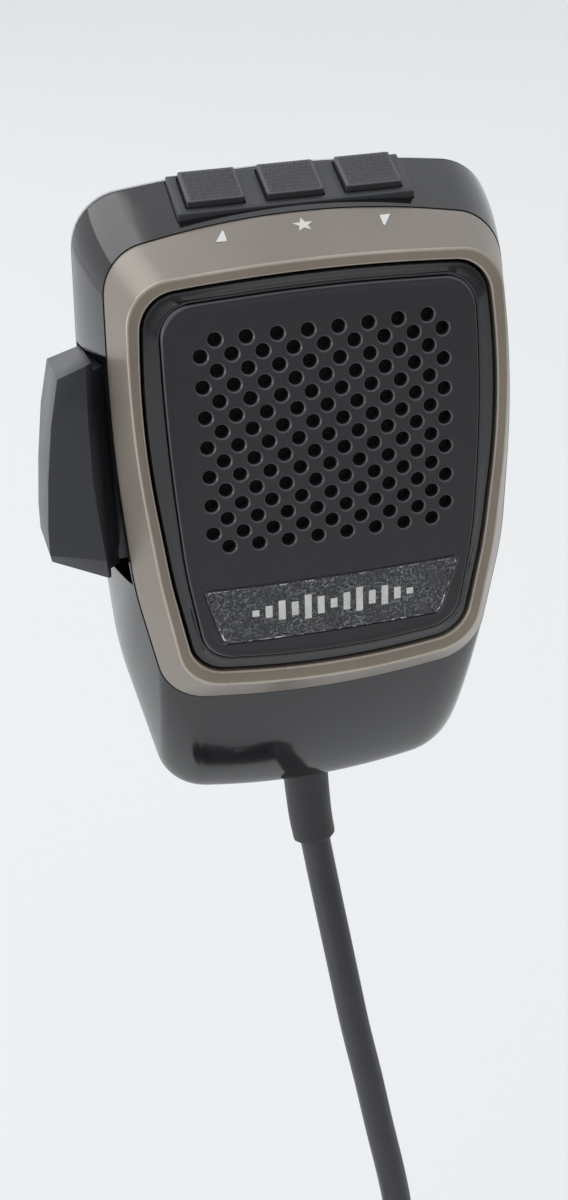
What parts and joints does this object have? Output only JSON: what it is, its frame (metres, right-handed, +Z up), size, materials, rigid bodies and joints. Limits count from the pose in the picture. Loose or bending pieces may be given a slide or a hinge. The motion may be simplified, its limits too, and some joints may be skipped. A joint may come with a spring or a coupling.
{
  "type": "hand microphone",
  "caption": "Hand microphone with a perforated domed grille, side push-to-talk lever, a row of keys on its top edge, a rear hang-up stud and a coiled lead ending in a round locking plug.",
  "frame": {"origin": "centre of the hang-up stud's foot, on the flat rear face of the housing", "axes": "+Z up along the microphone, away from the lead; -Y out of the grille, +Y out of the rear face along the stud; the push-to-talk lever is on the -X side"},
  "size_m": [0.0695, 0.0396, 0.3245],
  "materials": {
    "shell_black": "gloss black moulding, polished",
    "bezel_taupe": "satin metallic paint",
    "surround_black": "gloss black",
    "grille_grey": "fine matt texture",
    "nameplate_dark": "satin print",
    "clear_film": "thin clear protective film",
    "dust_cloth": "fine black weave",
    "rubber_black": "satin rubber",
    "pcb_green": "solder mask",
    "component_black": "moulded packages",
    "header_white": "natural nylon",
    "wire_red": "thin insulation",
    "flex_amber": "flat flexible cable",
    "steel": "zinc plated steel",
    "spring_steel": "spring wire",
    "nickel": "satin nickel plate",
    "pin_brass": "gold flashed brass",
    "capsule_metal": "plain aluminium can",
    "switch_grey": "moulded switch body",
    "plunger_red": "moulded actuator",
    "ptt_black": "satin black moulding",
    "pad_grey": "satin dark grey moulding",
    "key_grey": "knurled dark grey rubbery top",
    "key_plunger": "moulded actuator",
    "clamp_black": "moulded clamp",
    "lead_grey": "satin dark grey jacket",
    "coil_grey": "satin dark grey jacket",
    "tie_black": "woven strap",
    "insert_brown": "moulded phenolic insert"
  },
  "bodies": {
    "housing": {"front_shell": "shell_black", "rear_shell": "shell_black", "bezel": "bezel_taupe", "grille_surround": "surround_black", "grille_plate": "grille_grey", "nameplate": "nameplate_dark", "nameplate_film": "clear_film", "dust_cloth": "dust_cloth", "capsule_boot": "rubber_black", "mic_capsule": "capsule_metal", "main_pcb": "pcb_green", "pcb_components": "component_black", "wire_header": "header_white", "inner_wires": "wire_red", "pcb_screws": "steel", "ptt_switch": "switch_grey", "ptt_pivot_pin": "steel", "key_pad": "pad_grey", "key_pcb": "pcb_green", "key_switches": "switch_grey", "key_flex": "flex_amber", "strain_relief": "rubber_black", "cable_clamp": "clamp_black", "clamp_screws": "steel", "hang_stud": "nickel", "stud_screw": "steel", "stud_washer": "steel", "shell_screws": "steel", "mic_lead": "lead_grey", "coiled_lead": "coil_grey", "lead_tail": "lead_grey", "lead_tie": "tie_black", "plug_boot": "rubber_black", "plug_barrel": "nickel", "plug_insert": "insert_brown", "plug_pins": "pin_brass", "plug_clamp_screws": "steel"},
    "ptt": {"ptt_lever": "ptt_black", "ptt_spring": "spring_steel"},
    "ptt_plunger": {"ptt_switch_plunger": "plunger_red"},
    "key_up_cap": {"key_up": "key_grey", "plunger_up": "key_plunger"},
    "key_star_cap": {"key_star": "key_grey", "plunger_star": "key_plunger"},
    "key_down_cap": {"key_down": "key_grey", "plunger_down": "key_plunger"},
    "coupling_ring": {"plug_ring": "nickel"}
  },
  "joints": [
    {"name": "ptt_press", "type": "hinge", "parent": "housing", "child": "ptt", "pos_m": [-0.0245, -0.0163, 0.0095], "axis": [0, -1, 0], "range_deg": [0, 4.5], "stiffness_Nm_per_rad": 0.5, "springref_deg": -4.58},
    {"name": "ptt_switch_press", "type": "slide", "parent": "housing", "child": "ptt_plunger", "axis": [1, 0, 0], "range_m": [0, 0.0014]},
    {"name": "key_up_press", "type": "slide", "parent": "housing", "child": "key_up_cap", "axis": [0, 0.3984, -0.9172], "range_m": [0, 0.0006], "stiffness_N_per_m": 1500, "springref_m": -0.0008},
    {"name": "key_star_press", "type": "slide", "parent": "housing", "child": "key_star_cap", "axis": [0, 0.3984, -0.9172], "range_m": [0, 0.0006], "stiffness_N_per_m": 1500, "springref_m": -0.0008},
    {"name": "key_down_press", "type": "slide", "parent": "housing", "child": "key_down_cap", "axis": [0, 0.3984, -0.9172], "range_m": [0, 0.0006], "stiffness_N_per_m": 1500, "springref_m": -0.0008},
    {"name": "plug_ring_turn", "type": "hinge", "parent": "housing", "child": "coupling_ring", "pos_m": [-0.023, -0.025, -0.263], "axis": [0, 0, 1], "continuous": true}
  ],
  "couplings": [
    {"joint": "ptt_switch_press", "follows": "ptt_press", "m_per_rad": 0.017}
  ]
}
